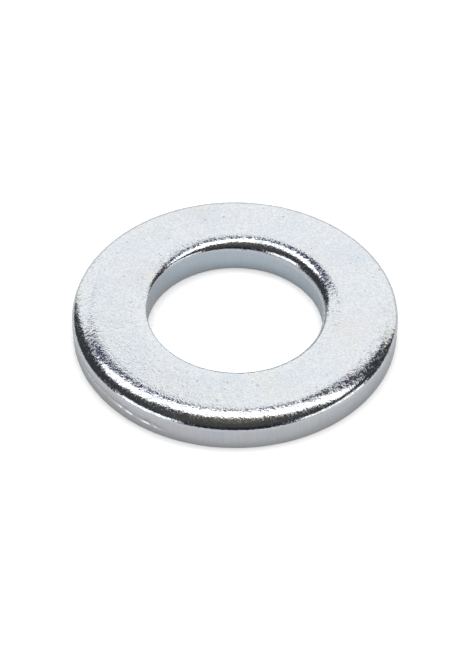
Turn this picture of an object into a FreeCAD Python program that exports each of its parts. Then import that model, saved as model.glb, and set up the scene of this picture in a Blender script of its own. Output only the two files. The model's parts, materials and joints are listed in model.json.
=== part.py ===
import FreeCAD, Part

import os
from math import sqrt

# Flat washer for an M12 bolt, in millimetres.
#
# The washer is one ring: a closed half-section in the XZ plane, turned once round the Z axis. The origin is on that
# axis in the bottom face, and +Z points to the face with the rounded edges.
#
# A compound die blanks the rim and pierces the bore in one stroke, so both walls carry the same three zones. From the
# top face down they are a rounded roll, a smooth upright land, and a torn shear zone that leans away from its mate.

# What a bolt, a nut and a clamped plate meet.
OUTER_DIAMETER = 24.0
BORE_DIAMETER = 13.0
THICKNESS = 2.5

# Rolls: how far each rounded edge reaches in over the top face, and how far down its wall.
RIM_ROLL_WIDTH = 1.5
RIM_ROLL_HEIGHT = 0.8
BORE_ROLL_WIDTH = 1.2
BORE_ROLL_HEIGHT = 0.65

# Shear zones: how high each reaches above the bottom face, and how far its foot stands back from the land.
RIM_SHEAR_HEIGHT = 0.55
RIM_SHEAR_LEAN = 0.05
BORE_SHEAR_HEIGHT = 0.5
BORE_SHEAR_LEAN = 0.05

# Bevel that tumbling leaves on the two bottom corners.
BOTTOM_BEVEL = 0.08

# A quadratic curve with this weight on its middle point is exactly a quarter of an ellipse.
QUARTER_ELLIPSE_WEIGHT = sqrt(0.5)
FULL_TURN = 360

AXIS_FOOT = FreeCAD.Vector(0, 0, 0)
AXIS_UP = FreeCAD.Vector(0, 0, 1)


def at(radius, height):
    """The point of the half-section at this radius and height."""
    return FreeCAD.Vector(radius, 0, height)


def roll(start, corner, end):
    """The rounded edge from start to end, inside the sharp corner that it replaces."""
    curve = Part.BezierCurve()
    curve.setPoles([start, corner, end])
    curve.setWeight(2, QUARTER_ELLIPSE_WEIGHT)
    return curve.toShape()


def wall(land_radius, foot_radius, shear_height, roll_height):
    """A wall's points, from the bevel at its foot up to where its roll starts."""
    return [
        at(foot_radius, BOTTOM_BEVEL),
        at(land_radius, shear_height),
        at(land_radius, THICKNESS - roll_height),
    ]


def half_section():
    """The ring's cross-section on one side of the axis."""
    rim_radius = OUTER_DIAMETER / 2
    rim_foot = rim_radius - RIM_SHEAR_LEAN
    rim_wall = wall(rim_radius, rim_foot, RIM_SHEAR_HEIGHT, RIM_ROLL_HEIGHT)
    rim_face_edge = at(rim_radius - RIM_ROLL_WIDTH, THICKNESS)

    bore_radius = BORE_DIAMETER / 2
    bore_foot = bore_radius + BORE_SHEAR_LEAN
    bore_wall = wall(bore_radius, bore_foot, BORE_SHEAR_HEIGHT, BORE_ROLL_HEIGHT)
    bore_face_edge = at(bore_radius + BORE_ROLL_WIDTH, THICKNESS)

    bottom_face = [at(bore_foot + BOTTOM_BEVEL, 0), at(rim_foot - BOTTOM_BEVEL, 0)]
    walls_and_bottom = Part.makePolygon(bore_wall[::-1] + bottom_face + rim_wall)
    rim_roll = roll(rim_wall[-1], at(rim_radius, THICKNESS), rim_face_edge)
    top_face = Part.makeLine(rim_face_edge, bore_face_edge)
    bore_roll = roll(bore_face_edge, at(bore_radius, THICKNESS), bore_wall[-1])
    return Part.Face(Part.Wire(walls_and_bottom.Edges + [rim_roll, top_face, bore_roll]))


def flat_washer():
    """The whole washer."""
    return half_section().revolve(AXIS_FOOT, AXIS_UP, FULL_TURN)


os.makedirs("parts", exist_ok=True)
flat_washer().exportStep("parts/flat_washer.step")
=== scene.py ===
import json
from math import cos, pi, radians, sin

import bpy
from mathutils import Matrix, Vector


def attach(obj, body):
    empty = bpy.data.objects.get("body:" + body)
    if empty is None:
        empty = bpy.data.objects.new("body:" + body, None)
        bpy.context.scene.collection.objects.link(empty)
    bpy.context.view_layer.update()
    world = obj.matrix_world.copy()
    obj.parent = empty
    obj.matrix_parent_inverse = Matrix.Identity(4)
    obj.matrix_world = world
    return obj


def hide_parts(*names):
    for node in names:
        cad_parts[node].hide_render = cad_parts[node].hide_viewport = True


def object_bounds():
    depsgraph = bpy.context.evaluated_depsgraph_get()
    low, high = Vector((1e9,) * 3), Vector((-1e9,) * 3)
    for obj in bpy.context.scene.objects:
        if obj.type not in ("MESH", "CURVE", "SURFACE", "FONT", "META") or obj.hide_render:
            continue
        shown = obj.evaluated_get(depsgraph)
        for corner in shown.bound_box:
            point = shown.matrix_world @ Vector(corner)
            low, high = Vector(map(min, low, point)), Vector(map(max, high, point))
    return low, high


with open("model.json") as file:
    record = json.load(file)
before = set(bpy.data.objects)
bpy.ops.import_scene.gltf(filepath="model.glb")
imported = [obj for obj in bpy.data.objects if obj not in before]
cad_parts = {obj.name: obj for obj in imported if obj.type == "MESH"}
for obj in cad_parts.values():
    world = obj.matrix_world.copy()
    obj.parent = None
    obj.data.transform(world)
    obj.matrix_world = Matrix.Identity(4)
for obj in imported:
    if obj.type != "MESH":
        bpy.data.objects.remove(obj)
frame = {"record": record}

# A zinc plated flat washer lying on a white table, with the rounded side of its blank up.
# Lengths are in metres. The washer's axis is Z, and its bottom face lies in the XY plane.

MM = 0.001

cad_low, cad_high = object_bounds()
mounts = {mount["name"]: mount for mount in frame["record"]["mounts"]}

RIM_RADIUS = (cad_high.x - cad_low.x) / 2
BORE_RADIUS = mounts["bore"]["dims"]["r_mm"] * MM
THICKNESS = cad_high.z - cad_low.z

# Colours of the plating.
ZINC = (0.80, 0.83, 0.86, 1)
# Painted shade: a darker zinc for the die-wiped land and the foot of each roll, standing in for the grey table that
# they mirror.
SHADED_ZINC = (0.725, 0.755, 0.785, 1)
# Painted reflection: a darker, bluer zinc for the land inside the bore.
BORE_REFLECTION_BLUE = (0.625, 0.72, 0.79, 1)
TORN_ZINC = (0.74, 0.75, 0.77, 1)
GREY_FILM = (0.60, 0.63, 0.68, 1)
PIT_GREY = (0.35, 0.36, 0.40, 1)
TORN_SHADE = (0.52, 0.55, 0.60, 1)

# How far apart the plating's crystals and its broader mottling are.
FINE_GRAIN = 0.13 * MM
COARSE_GRAIN = 0.40 * MM


# ---------------------------------------------------------------- node trees

def put(tree, kind, feeds=None, **settings):
    """Adds a node, makes its settings, and feeds each input with a constant or with another node's output."""
    node = tree.nodes.new(kind)
    for name, value in settings.items():
        setattr(node, name, value)
    for name, value in (feeds or {}).items():
        if isinstance(value, bpy.types.NodeSocket):
            tree.links.new(value, node.inputs[name])
        else:
            node.inputs[name].default_value = value
    return node


def calc(tree, operation, first, second=0.0, third=0.0):
    """The result of one sum."""
    return put(tree, "ShaderNodeMath", {0: first, 1: second, 2: third}, operation=operation).outputs[0]


def vector_calc(tree, operation, first, second=(0.0, 0.0, 0.0), scale=1.0):
    """The result of one sum on vectors: a number for a length, and a vector otherwise."""
    node = put(tree, "ShaderNodeVectorMath", {0: first, 1: second, 3: scale}, operation=operation)
    return node.outputs["Value" if operation == "LENGTH" else "Vector"]


def smooth(tree, value, low, high, from_value=0.0, to_value=1.0):
    """Goes smoothly from one value to another as the input passes from low to high."""
    feeds = {"Value": value, "From Min": low, "From Max": high, "To Min": from_value, "To Max": to_value}
    return put(tree, "ShaderNodeMapRange", feeds, interpolation_type="SMOOTHSTEP").outputs["Result"]


def ramp(tree, value, low, high, from_value=0.0, to_value=1.0):
    """Goes in a straight line from one value to another as the input passes from low to high."""
    feeds = {"Value": value, "From Min": low, "From Max": high, "To Min": from_value, "To Max": to_value}
    return put(tree, "ShaderNodeMapRange", feeds).outputs["Result"]


def blend(tree, amount, first, second):
    """A mix of two colours."""
    node = put(tree, "ShaderNodeMix", {"Factor": amount}, data_type="RGBA")
    for index, value in ((6, first), (7, second)):
        if isinstance(value, bpy.types.NodeSocket):
            tree.links.new(value, node.inputs[index])
        else:
            node.inputs[index].default_value = value
    return node.outputs[2]


def noise(tree, place, grain, detail=2.0, seed=0.0):
    """Soft random values from 0 to 1, whose grains are about so far apart."""
    feeds = {"Vector": place, "Scale": calc(tree, "DIVIDE", 1.0, grain), "Detail": detail, "W": seed}
    return put(tree, "ShaderNodeTexNoise", feeds, noise_dimensions="4D").outputs["Fac"]


def new_tree(name, kind, inputs, outputs):
    """An empty node group with named inputs, each (name, socket kind, default), and named outputs."""
    tree = bpy.data.node_groups.new(name, kind)
    for label, socket, default in inputs:
        made = tree.interface.new_socket(label, in_out="INPUT", socket_type=socket)
        if default is not None:
            made.default_value = default
    for label, socket in outputs:
        tree.interface.new_socket(label, in_out="OUTPUT", socket_type=socket)
    return tree, tree.nodes.new("NodeGroupInput").outputs, tree.nodes.new("NodeGroupOutput").inputs


# ---------------------------------------------------------------- the stamped ring

# Which zone of the blank a face belongs to.
FACE, LAND, TORN = 0, 1, 2

# Every size that shapes the ring, in the order in which the tree takes them.
RING_SIZES = {
    "Rim Radius": RIM_RADIUS,
    "Bore Radius": BORE_RADIUS,
    "Thickness": THICKNESS,
    "Rim Roll Width": 1.9 * MM,
    "Rim Roll Height": 0.82 * MM,
    "Bore Roll Width": 1.8 * MM,
    "Bore Roll Height": 0.69 * MM,
    "Bore Roll Slant": 0.5,
    "Rim Roll Squareness": 2.1,
    "Bore Roll Squareness": 2.7,
    "Rim Shear Height": 0.55 * MM,
    "Bore Shear Height": 0.16 * MM,
    "Shear Lean": 0.02 * MM,
    "Foot Round": 0.06 * MM,
    "Peel Size": 0.55 * MM,
    "Peel Depth": 0.02 * MM,
    "Tear Size": 0.25 * MM,
    "Tear Depth": 0.015 * MM,
    "Shear Wave": 0.22 * MM,
    "Wave Length": 1.4 * MM,
    "Shear Rise": 0.5 * MM,
    "Rise Bearing": radians(-175),
    "Ledge Depth": 0.09 * MM,
    "Ledge Height": 0.07 * MM,
    "Ledge Bearing": radians(-136),
    "Seed": 3.0,
}

STEPS_AROUND = 720
STEPS_ACROSS = {
    "top face": 30,
    "rim roll": 22,
    "rim land": 10,
    "rim shear": 20,
    "rim foot": 4,
    "bottom face": 6,
    "bore foot": 4,
    "bore shear": 5,
    "bore land": 12,
    "bore roll": 18,
}


def strip_tree():
    """Sweeps one stretch of the cross-section round the ring and marks it with its zone."""
    inputs = [
        ("Stretch", "NodeSocketGeometry", None),
        ("Circle", "NodeSocketGeometry", None),
        ("Steps", "NodeSocketInt", 8),
        ("Zone", "NodeSocketInt", 0),
    ]
    tree, given, result = new_tree("ring strip", "GeometryNodeTree", inputs, [("Strip", "NodeSocketGeometry")])
    points = calc(tree, "ADD", given["Steps"], 1)
    stretch = put(tree, "GeometryNodeResampleCurve", {"Curve": given["Stretch"], "Count": points}, mode="COUNT")
    swept = put(tree, "GeometryNodeCurveToMesh", {"Curve": given["Circle"], "Profile Curve": stretch.outputs[0]})
    marked = put(
        tree, "GeometryNodeStoreNamedAttribute",
        {"Geometry": swept.outputs[0], "Name": "zone", "Value": given["Zone"]},
        data_type="INT", domain="FACE",
    )
    tree.links.new(marked.outputs[0], result["Strip"])
    return tree


def swept_ring(tree, given):
    """The clean ring: ten stretches of cross-section, swept round and joined."""
    rim, bore, thickness = given["Rim Radius"], given["Bore Radius"], given["Thickness"]
    lean, foot = given["Shear Lean"], given["Foot Round"]
    rim_wide, rim_high = given["Rim Roll Width"], given["Rim Roll Height"]
    bore_wide, bore_high = given["Bore Roll Width"], given["Bore Roll Height"]
    rim_shear, bore_shear = given["Rim Shear Height"], given["Bore Shear Height"]
    circle = put(tree, "GeometryNodeCurvePrimitiveCircle", {"Resolution": given["Steps Around"], "Radius": rim})

    def minus(first, second):
        return calc(tree, "SUBTRACT", first, second)

    def plus(first, second):
        return calc(tree, "ADD", first, second)

    def at(radius, height):
        """A point of the cross-section. A swept curve's X is the distance past the circle, and its Y points down."""
        return put(tree, "ShaderNodeCombineXYZ", {"X": minus(radius, rim), "Y": minus(0.0, height)}).outputs[0]

    def line(start, end):
        return put(tree, "GeometryNodeCurvePrimitiveLine", {"Start": start, "End": end}).outputs[0]

    def round_edge(centre, wide, high, start, turn, squareness=2.0):
        """A quarter of an ellipse, or of a squarer oval. A negative size faces the bore, or the top."""
        feeds = {"Resolution": 64, "Radius": 1.0, "Start Angle": start, "Sweep Angle": turn}
        arc = put(tree, "GeometryNodeCurveArc", feeds, mode="RADIUS").outputs["Curve"]
        spot = put(tree, "ShaderNodeSeparateXYZ", {0: put(tree, "GeometryNodeInputPosition").outputs[0]}).outputs
        power = calc(tree, "DIVIDE", 2.0, squareness)
        oval = {axis: calc(tree, "POWER", calc(tree, "MAXIMUM", spot[axis], 0.0), power) for axis in ("X", "Y")}
        oval = put(tree, "ShaderNodeCombineXYZ", oval).outputs[0]
        arc = put(tree, "GeometryNodeSetPosition", {"Geometry": arc, "Position": oval}).outputs[0]
        size = put(tree, "ShaderNodeCombineXYZ", {"X": wide, "Y": high, "Z": 1.0}).outputs[0]
        return put(tree, "GeometryNodeTransform", {"Geometry": arc, "Translation": centre, "Scale": size}).outputs[0]

    rim_inner, bore_outer = minus(rim, rim_wide), plus(bore, bore_wide)
    rim_shoulder, bore_shoulder = minus(thickness, rim_high), minus(thickness, bore_high)
    rim_base, bore_base = minus(rim, lean), plus(bore, lean)
    rim_sole, bore_sole = minus(rim_base, foot), plus(bore_base, foot)
    to_bore, to_top = -1.0, -1.0
    quarter = pi / 2
    rim_top = round_edge(
        at(rim_inner, rim_shoulder), rim_wide, calc(tree, "MULTIPLY", rim_high, to_top), quarter, -quarter,
        given["Rim Roll Squareness"],
    )
    bore_top = round_edge(
        at(bore_outer, bore_shoulder), calc(tree, "MULTIPLY", bore_wide, to_bore),
        calc(tree, "MULTIPLY", bore_high, to_top), 0.0, quarter, given["Bore Roll Squareness"],
    )
    rim_bottom = round_edge(at(rim_sole, foot), foot, foot, 0.0, quarter)
    bore_bottom = round_edge(at(bore_sole, foot), calc(tree, "MULTIPLY", foot, to_bore), foot, quarter, -quarter)
    stretches = {
        "top face": (line(at(bore_outer, thickness), at(rim_inner, thickness)), FACE),
        "rim roll": (rim_top, FACE),
        "rim land": (line(at(rim, rim_shoulder), at(rim, rim_shear)), LAND),
        "rim shear": (line(at(rim, rim_shear), at(rim_base, foot)), TORN),
        "rim foot": (rim_bottom, TORN),
        "bottom face": (line(at(rim_sole, 0.0), at(bore_sole, 0.0)), FACE),
        "bore foot": (bore_bottom, TORN),
        "bore shear": (line(at(bore_base, foot), at(bore, bore_shear)), TORN),
        "bore land": (line(at(bore, bore_shear), at(bore, bore_shoulder)), LAND),
        "bore roll": (bore_top, FACE),
    }
    strip = strip_tree()
    joined = tree.nodes.new("GeometryNodeJoinGeometry")
    for name, (stretch, zone) in stretches.items():
        feeds = {"Stretch": stretch, "Circle": circle.outputs[0], "Steps": STEPS_ACROSS[name], "Zone": zone}
        swept = put(tree, "GeometryNodeGroup", feeds, node_tree=strip)
        tree.links.new(swept.outputs[0], joined.inputs[0])
    merged = put(tree, "GeometryNodeMergeByDistance", {"Geometry": joined.outputs[0], "Distance": 0.001 * MM})
    return merged.outputs[0]


def ring_tree():
    """Builds the whole ring from its sizes, then waves and tears its surface as stamping does."""
    inputs = [(name, "NodeSocketFloat", value) for name, value in RING_SIZES.items()]
    inputs += [
        ("Steps Around", "NodeSocketInt", STEPS_AROUND),
        ("Face Finish", "NodeSocketMaterial", None),
        ("Land Finish", "NodeSocketMaterial", None),
        ("Torn Finish", "NodeSocketMaterial", None),
    ]
    tree, given, result = new_tree("stamped ring", "GeometryNodeTree", inputs, [("Ring", "NodeSocketGeometry")])
    ring = swept_ring(tree, given)

    place = put(tree, "GeometryNodeInputPosition").outputs[0]
    normal = put(tree, "GeometryNodeInputNormal").outputs[0]
    level = vector_calc(tree, "MULTIPLY", place, (1.0, 1.0, 0.0))
    level_parts = put(tree, "ShaderNodeSeparateXYZ", {0: place}).outputs
    height = level_parts["Z"]
    radius = vector_calc(tree, "LENGTH", level)
    middle = calc(tree, "MULTIPLY", calc(tree, "ADD", given["Rim Radius"], given["Bore Radius"]), 0.5)
    on_rim = calc(tree, "GREATER_THAN", radius, middle)

    def rim_or_bore(rim_value, bore_value):
        return put(tree, "ShaderNodeMix", {0: on_rim, 2: bore_value, 3: rim_value}, data_type="FLOAT").outputs[0]

    # How far each point is above the smooth land, which the face's finish reads too, and how far below it.
    roll_height = rim_or_bore(given["Rim Roll Height"], given["Bore Roll Height"])
    shear_height = rim_or_bore(given["Rim Shear Height"], given["Bore Shear Height"])
    above_land = calc(tree, "SUBTRACT", height, calc(tree, "SUBTRACT", given["Thickness"], roll_height))
    below_land = calc(tree, "SUBTRACT", shear_height, height)
    ring = put(
        tree, "GeometryNodeStoreNamedAttribute", {"Geometry": ring, "Name": "above_land", "Value": above_land},
        data_type="FLOAT", domain="POINT",
    ).outputs[0]

    # The punch sat a little off centre in its die, so the torn edge stands higher on one side, with a ledge above it.
    bearing = calc(tree, "ARCTAN2", level_parts["Y"], level_parts["X"])

    def side(name, low, high):
        """Rises from 0 to 1 towards the side of the washer with this bearing."""
        away = calc(tree, "SUBTRACT", bearing, given[name])
        return smooth(tree, calc(tree, "COSINE", away), low, high)

    patchy = smooth(tree, noise(tree, level, 0.5 * MM, 2.0, given["Seed"]), 0.38, 0.58, 0.35, 1.0)
    ledge = calc(tree, "MULTIPLY", calc(tree, "MULTIPLY_ADD", side("Ledge Bearing", 0.90, 0.985), 0.92, 0.08), patchy)
    ledge = calc(tree, "MULTIPLY", ledge, given["Ledge Depth"])
    hollow = calc(tree, "MULTIPLY", smooth(tree, below_land, -0.6 * MM, 0.0),
                  smooth(tree, below_land, 0.0, given["Ledge Height"], 1.0, 0.0))
    step_back = calc(tree, "MULTIPLY", ledge, hollow)
    tear = noise(tree, place, given["Tear Size"], 3.0, given["Seed"])
    tear = calc(tree, "MULTIPLY", tear, given["Tear Depth"])
    tear = calc(tree, "MULTIPLY", tear, smooth(tree, below_land, 0.0, 0.06 * MM))
    into_metal = calc(tree, "MULTIPLY_ADD", on_rim, -2.0, 1.0)
    torn = vector_calc(
        tree, "SCALE", vector_calc(tree, "NORMALIZE", level),
        scale=calc(tree, "MULTIPLY", into_metal, calc(tree, "ADD", step_back, tear)),
    )

    # The line between land and tear wanders up and down, and takes the wall above and below it along.
    wander = calc(tree, "SUBTRACT", noise(tree, level, given["Wave Length"], 3.0, given["Seed"]), 0.5)
    rise = calc(tree, "MULTIPLY", side("Rise Bearing", 0.3, 1.0), given["Shear Rise"])
    rise = calc(tree, "MULTIPLY_ADD", wander, given["Shear Wave"], rise)
    shoulder = calc(tree, "SUBTRACT", given["Thickness"], roll_height)
    over = ramp(tree, height, shear_height, shoulder, 1.0, 0.0)
    under = ramp(tree, height, given["Foot Round"], shear_height)
    rise = calc(tree, "MULTIPLY", rise, calc(tree, "MINIMUM", over, under))

    # The roll into the bore is deeper on the side towards X, and takes the land below it along.
    to_shoulder = ramp(tree, height, given["Foot Round"], shoulder)
    from_top = ramp(tree, height, given["Thickness"], shoulder)
    slant = calc(tree, "MULTIPLY", calc(tree, "COSINE", bearing), calc(tree, "MINIMUM", to_shoulder, from_top))
    slant = calc(tree, "MULTIPLY", slant, calc(tree, "MULTIPLY", roll_height, given["Bore Roll Slant"]))
    slant = calc(tree, "MULTIPLY", slant, calc(tree, "SUBTRACT", 1.0, on_rim))
    waved = put(tree, "ShaderNodeCombineXYZ", {"Z": calc(tree, "SUBTRACT", rise, slant)}).outputs[0]

    # The skin of the rolled metal is faintly rippled, and least so where the face was pressed flat.
    drop = calc(tree, "SUBTRACT", given["Thickness"], height)
    ripple = calc(tree, "ADD", noise(tree, place, given["Peel Size"], 2.0, given["Seed"]), -1.0)
    ripple = calc(tree, "MULTIPLY", ripple, smooth(tree, drop, 0.0, 0.12 * MM, 0.22, 1.0))
    rippled = vector_calc(tree, "SCALE", normal, scale=calc(tree, "MULTIPLY", ripple, given["Peel Depth"]))

    offset = vector_calc(tree, "ADD", vector_calc(tree, "ADD", torn, waved), rippled)
    ring = put(tree, "GeometryNodeSetPosition", {"Geometry": ring, "Offset": offset}).outputs[0]
    ring = put(tree, "GeometryNodeSetShadeSmooth", {"Geometry": ring, "Shade Smooth": True}).outputs[0]
    ring = put(tree, "GeometryNodeRealizeInstances", {"Geometry": ring}).outputs[0]
    zone = put(tree, "GeometryNodeInputNamedAttribute", {"Name": "zone"}, data_type="INT").outputs["Attribute"]
    for wanted, name in ((FACE, "Face Finish"), (LAND, "Land Finish"), (TORN, "Torn Finish")):
        here = put(tree, "FunctionNodeCompare", {2: zone, 3: wanted}, data_type="INT", operation="EQUAL").outputs[0]
        feeds = {"Geometry": ring, "Selection": here, "Material": given[name]}
        ring = put(tree, "GeometryNodeSetMaterial", feeds).outputs[0]
    tree.links.new(ring, result["Ring"])
    return tree


def build_washer(finishes):
    """The washer as one plain mesh."""
    tree = ring_tree()
    source = bpy.data.objects.new("ring_source", bpy.data.meshes.new("ring_source"))
    bpy.context.collection.objects.link(source)
    modifier = source.modifiers.new("stamped ring", "NODES")
    modifier.node_group = tree
    identifiers = {item.name: item.identifier for item in tree.interface.items_tree if item.in_out == "INPUT"}
    for name, value in {**RING_SIZES, **finishes, "Steps Around": STEPS_AROUND}.items():
        modifier[identifiers[name]] = value
    evaluated = source.evaluated_get(bpy.context.evaluated_depsgraph_get())
    mesh = bpy.data.meshes.new_from_object(evaluated)
    source.modifiers.remove(modifier)
    bpy.data.objects.remove(source)
    mesh.name = "plated_ring"
    ring = bpy.data.objects.new("plated_ring", mesh)
    bpy.context.collection.objects.link(ring)
    return ring


# ---------------------------------------------------------------- effects shared by the finishes

def grain_group():
    """The crystal grain of the zinc, as a height and as a tone from 0 to 1."""
    inputs = [("Grain", "NodeSocketFloat", 0.1 * MM), ("Detail", "NodeSocketFloat", 2.0)]
    outputs = [("Height", "NodeSocketFloat"), ("Tone", "NodeSocketFloat")]
    tree, given, result = new_tree("zinc grain", "ShaderNodeTree", inputs, outputs)
    place = put(tree, "ShaderNodeTexCoord").outputs["Object"]
    fine = noise(tree, place, given["Grain"], given["Detail"], 1.0)
    tree.links.new(fine, result["Height"])
    tone = noise(tree, place, given["Grain"], given["Detail"], 5.0)
    tree.links.new(smooth(tree, tone, 0.3, 0.7), result["Tone"])
    return tree


def tint_group():
    """The faint straw, rose and blue clouds of a clear passivation, over the plain zinc colour."""
    inputs = [
        ("Zinc", "NodeSocketColor", ZINC),
        ("Cloud Size", "NodeSocketFloat", 3 * MM),
        ("Strength", "NodeSocketFloat", 0.3),
    ]
    tree, given, result = new_tree("passivation tint", "ShaderNodeTree", inputs, [("Colour", "NodeSocketColor")])
    place = put(tree, "ShaderNodeTexCoord").outputs["Object"]
    colour = given["Zinc"]
    for seed, hue in ((11.0, (1.0, 0.96, 0.86, 1)), (12.0, (0.84, 0.93, 1.0, 1)), (13.0, (1.0, 0.93, 0.95, 1))):
        cloud = smooth(tree, noise(tree, place, given["Cloud Size"], 3.0, seed), 0.48, 0.72)
        tinted = put(tree, "ShaderNodeMix", {"Factor": 1.0}, data_type="RGBA", blend_type="MULTIPLY")
        tree.links.new(colour, tinted.inputs[6])
        tinted.inputs[7].default_value = hue
        colour = blend(tree, calc(tree, "MULTIPLY", cloud, given["Strength"]), colour, tinted.outputs[2])
    tree.links.new(colour, result["Colour"])
    return tree


def use(tree, group, **values):
    """Places a shared effect in a material, with that material's own values."""
    feeds = {name.replace("_", " "): value for name, value in values.items()}
    return put(tree, "ShaderNodeGroup", feeds, node_tree=group).outputs


# ---------------------------------------------------------------- finishes

def bare_finish(name):
    """A metal with nothing yet on its surface."""
    material = bpy.data.materials.new(name)
    material.use_nodes = True
    shader = material.node_tree.nodes["Principled BSDF"]
    shader.inputs["Metallic"].default_value = 1.0
    return material, material.node_tree, shader


def own(tree, name):
    """A number that the ring carries over its surface."""
    return put(tree, "ShaderNodeAttribute", attribute_name=name).outputs["Fac"]


def connect(tree, shader, **feeds):
    """Feeds the metal's own sockets, named with an underscore for a space."""
    for name, value in feeds.items():
        tree.links.new(value, shader.inputs[name.replace("_", " ")])


def bumped(tree, *layers):
    """One normal from several heights, each (height, depth in metres)."""
    normal = None
    for height, depth in layers:
        feeds = {"Height": height, "Distance": depth, "Strength": 1.0}
        if normal:
            feeds["Normal"] = normal
        normal = put(tree, "ShaderNodeBump", feeds).outputs["Normal"]
    return normal



def face_finish(grain, tint):
    """Bright plating, finely frosted on the flat face, with painted shade on the foot of each roll, just above the
    land.
    """
    material, tree, shader = bare_finish("plated_face")
    place = put(tree, "ShaderNodeTexCoord").outputs["Object"]
    height = put(tree, "ShaderNodeSeparateXYZ", {0: place}).outputs["Z"]
    drop = calc(tree, "SUBTRACT", THICKNESS, height)
    rolled = smooth(tree, drop, 0.0, 0.03 * MM)
    fine = use(tree, grain, Grain=FINE_GRAIN, Detail=0.6)
    coarse = use(tree, grain, Grain=COARSE_GRAIN)
    colour = use(tree, tint, Zinc=ZINC, Strength=0.6)["Colour"]
    colour = blend(tree, calc(tree, "MULTIPLY", fine["Tone"], 0.60), colour, GREY_FILM)
    colour = blend(tree, calc(tree, "MULTIPLY", coarse["Tone"], 0.22), colour, GREY_FILM)
    pit = smooth(tree, noise(tree, place, 0.35 * MM, 0.0, 41.0), 0.76, 0.80)
    colour = blend(tree, calc(tree, "MULTIPLY", pit, 0.6), colour, PIT_GREY)
    # Painted shade: the land's darker zinc reaches up the foot of the roll to a wavy line just above the land.
    edge = noise(tree, place, 0.3 * MM, 2.0, 21.0)
    shade_line = calc(tree, "MULTIPLY_ADD", edge, 0.08 * MM, 0.05 * MM)
    above = own(tree, "above_land")
    shaded_foot = smooth(tree, calc(tree, "SUBTRACT", above, shade_line), -0.02 * MM, 0.02 * MM, 1.0, 0.0)
    colour = blend(tree, shaded_foot, colour, SHADED_ZINC)
    dull = calc(tree, "MULTIPLY", smooth(tree, fine["Tone"], 0.4, 1.0), calc(tree, "MULTIPLY", rolled, 0.19))
    rough = calc(tree, "ADD", smooth(tree, rolled, 0.0, 1.0, 0.13, 0.09), dull)
    swell = calc(tree, "MULTIPLY", coarse["Height"], smooth(tree, rolled, 0.0, 1.0, 0.35, 1.0))
    frost = calc(tree, "MINIMUM", smooth(tree, drop, 0.004 * MM, 0.012 * MM, 0.34, 0.60),
                 smooth(tree, drop, 0.02 * MM, 0.06 * MM, 0.60, 0.28))
    frost = calc(tree, "MULTIPLY", fine["Height"], frost)
    normal = bumped(tree, (swell, 0.014 * MM), (frost, 0.026 * MM))
    connect(tree, shader, Base_Color=colour, Roughness=rough, Normal=normal)
    return material


def land_finish(grain, tint):
    """The band that the die wiped smooth, with fine drag lines down it, in a darker zinc that is painted shade, and
    darker and bluer still inside the bore as a painted reflection.
    """
    material, tree, shader = bare_finish("plated_land")
    place = put(tree, "ShaderNodeTexCoord").outputs["Object"]
    drawn = vector_calc(tree, "MULTIPLY", place, (1.0, 1.0, 0.06))
    drag = noise(tree, drawn, 0.12 * MM, 2.0, 31.0)
    fine = use(tree, grain, Grain=FINE_GRAIN)
    radius = vector_calc(tree, "LENGTH", vector_calc(tree, "MULTIPLY", place, (1.0, 1.0, 0.0)))
    # Painted shade on the land, and a painted reflection, darker and bluer, inside the bore.
    in_bore = smooth(tree, radius, BORE_RADIUS + 0.5 * MM, BORE_RADIUS + 1.5 * MM, 1.0, 0.0)
    colour = blend(tree, in_bore, use(tree, tint, Zinc=SHADED_ZINC, Cloud_Size=2 * MM, Strength=0.6)["Colour"], BORE_REFLECTION_BLUE)
    colour = blend(tree, smooth(tree, drag, 0.35, 0.65, 0.0, 0.35), colour, GREY_FILM)
    rough = smooth(tree, drag, 0.3, 0.7, 0.23, 0.27)
    normal = bumped(tree, (drag, 0.002 * MM), (fine["Height"], 0.003 * MM))
    connect(tree, shader, Base_Color=colour, Roughness=rough, Normal=normal)
    return material


def torn_finish(grain, tint):
    """The duller edge where the blank broke out of the strip."""
    material, tree, shader = bare_finish("plated_tear")
    fine = use(tree, grain, Grain=0.10 * MM, Detail=3.0)
    colour = use(tree, tint, Zinc=TORN_ZINC)["Colour"]
    colour = blend(tree, calc(tree, "MULTIPLY", fine["Tone"], 0.3), colour, TORN_SHADE)
    rough = smooth(tree, fine["Tone"], 0.0, 1.0, 0.15, 0.26)
    normal = bumped(tree, (fine["Height"], 0.008 * MM))
    connect(tree, shader, Base_Color=colour, Roughness=rough, Normal=normal)
    return material


# ---------------------------------------------------------------- studio

WALL_WHITE = (0.998, 1.0, 0.945)
TABLE_SEEN = (0.89, 0.89, 0.89, 1)
TABLE_MIRRORED = (0.42, 0.42, 0.425, 1)
ROOM_SEEN = (1, 1, 1, 1)
ROOM_LOW = (0.014, 0.016, 0.03, 1)
ROOM_HIGH = (0.07, 0.068, 0.064, 1)
ROOM_OVERHEAD = (0.135, 0.122, 0.085, 1)
ROOM_ASIDE = (0.045, 0.045, 0.05, 1)
ROOM_BEHIND = (0.06, 0.06, 0.105, 1)


def light_box(name, place, facing, size, radiance, turn=0.0, colour=(1, 1, 1)):
    """A rectangular light. It shines back along the facing direction, a bearing and an elevation in degrees, with
    bearing 0 behind the washer and 90 to its right, and it is turned in its own plane."""
    bearing, elevation = facing
    light = bpy.data.lights.new(name, "AREA")
    light.shape = "RECTANGLE"
    light.size, light.size_y = size
    light.energy = radiance * pi * light.size * light.size_y
    light.color = colour
    box = bpy.data.objects.new(name, light)
    box.location = place
    aim = Matrix.Rotation(radians(-bearing), 3, "Z") @ Matrix.Rotation(radians(elevation - 90), 3, "X")
    box.rotation_euler = (aim @ Matrix.Rotation(radians(turn), 3, "Z")).to_euler()
    box.visible_camera = False
    bpy.context.collection.objects.link(box)
    return box


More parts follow.
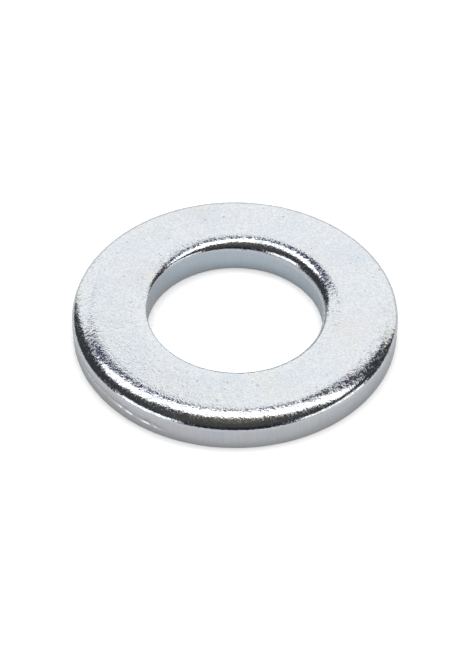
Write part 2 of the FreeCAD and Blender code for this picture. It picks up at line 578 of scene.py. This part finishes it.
def studio():
    """The lights. The fill falls on the table only, because nothing mirrors it."""
    light_box("overhead_softbox", (0.136, 0.254, 0.97), (0, 90), (1.63, 0.275), 1.9, turn=-16.5)
    light_box("back_wall", (0.175, 0.55, 0.315), (0, 0), (1.31, 0.63), 1.02, colour=WALL_WHITE)
    light_box("back_wall_top", (0.225, 0.55, 0.775), (0, 0), (0.55, 0.29), 1.02, colour=WALL_WHITE)
    light_box("left_panel", (-0.663, -0.447, 0.275), (236, 0), (0.58, 0.49), 1.4)
    light_box("right_panel", (0.713, -0.363, 0.235), (117, 0), (0.70, 0.41), 1.25, turn=-12)
    fill = light_box("floor_fill", (-0.03, -0.03, 0.80), (225, 87), (1.2, 1.2), 2.8)
    fill.visible_glossy = False


def table():
    """A table that is white to the camera, and mid grey to what it lights and to the metal that mirrors it."""
    size = 0.8
    mesh = bpy.data.meshes.new("table")
    mesh.from_pydata([(-size, -size, 0), (size, -size, 0), (size, size, 0), (-size, size, 0)], [], [(0, 1, 2, 3)])
    top = bpy.data.objects.new("table", mesh)
    bpy.context.collection.objects.link(top)
    material = bpy.data.materials.new("white_table")
    material.use_nodes = True
    tree = material.node_tree
    shader = tree.nodes["Principled BSDF"]
    seen = put(tree, "ShaderNodeLightPath").outputs["Is Camera Ray"]
    tree.links.new(blend(tree, seen, TABLE_MIRRORED, TABLE_SEEN), shader.inputs["Base Color"])
    shader.inputs["Roughness"].default_value = 0.9
    shader.inputs["Specular IOR Level"].default_value = 0.0
    mesh.materials.append(material)


def dark_room():
    """An unlit room, warm overhead and blue-black low down. Only the camera sees white in its place."""
    world = bpy.data.worlds.new("dark room")
    bpy.context.scene.world = world
    world.use_nodes = True
    tree = world.node_tree
    tree.nodes.clear()
    toward = put(tree, "ShaderNodeSeparateXYZ", {0: put(tree, "ShaderNodeTexCoord").outputs["Generated"]}).outputs
    room_colour = blend(tree, smooth(tree, toward["Z"], 0.35, 0.9), ROOM_LOW, ROOM_HIGH)
    overhead = calc(tree, "MULTIPLY", smooth(tree, toward["Z"], 0.93, 1.0),
                    smooth(tree, calc(tree, "ABSOLUTE", toward["X"]), 0.08, 0.25, 1.0, 0.0))
    room_colour = blend(tree, overhead, room_colour, ROOM_OVERHEAD)
    aside = smooth(tree, calc(tree, "ABSOLUTE", toward["X"]), 0.4, 0.65)
    room_colour = blend(tree, aside, room_colour, ROOM_ASIDE)
    behind = calc(tree, "MULTIPLY", smooth(tree, toward["Y"], 0.3, 0.5),
                  smooth(tree, calc(tree, "ABSOLUTE", toward["X"]), 0.45, 0.6, 1.0, 0.0))
    room_colour = blend(tree, behind, room_colour, ROOM_BEHIND)
    seen = put(tree, "ShaderNodeLightPath").outputs["Is Camera Ray"]
    room = put(tree, "ShaderNodeBackground", {"Color": room_colour})
    pale = put(tree, "ShaderNodeBackground", {"Color": ROOM_SEEN})
    mixed = put(tree, "ShaderNodeMixShader", {0: seen, 1: room.outputs[0], 2: pale.outputs[0]})
    put(tree, "ShaderNodeOutputWorld", {"Surface": mixed.outputs[0]})


def camera():
    """A long lens, looking down at the washer from the front."""
    elevation, distance = radians(44.8), 0.168
    lens = bpy.data.cameras.new("camera")
    lens.lens = 126.4
    lens.sensor_width = 36
    lens.clip_start, lens.clip_end = 0.01, 10
    view = bpy.data.objects.new("camera", lens)
    aim = Vector((-0.18 * MM, 0.32 * MM, 0.32 * MM))
    view.location = Vector((0, -cos(elevation), sin(elevation))) * distance
    view.rotation_euler = (view.location - aim).to_track_quat("Z", "Y").to_euler()
    bpy.context.collection.objects.link(view)
    bpy.context.scene.camera = view


grain, tint = grain_group(), tint_group()
finishes = {
    "Face Finish": face_finish(grain, tint),
    "Land Finish": land_finish(grain, tint),
    "Torn Finish": torn_finish(grain, tint),
}
ring = build_washer(finishes)
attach(ring, "root")
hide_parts("flat_washer")

table()
dark_room()
studio()
camera()
bpy.context.scene.view_settings.view_transform = "Standard"
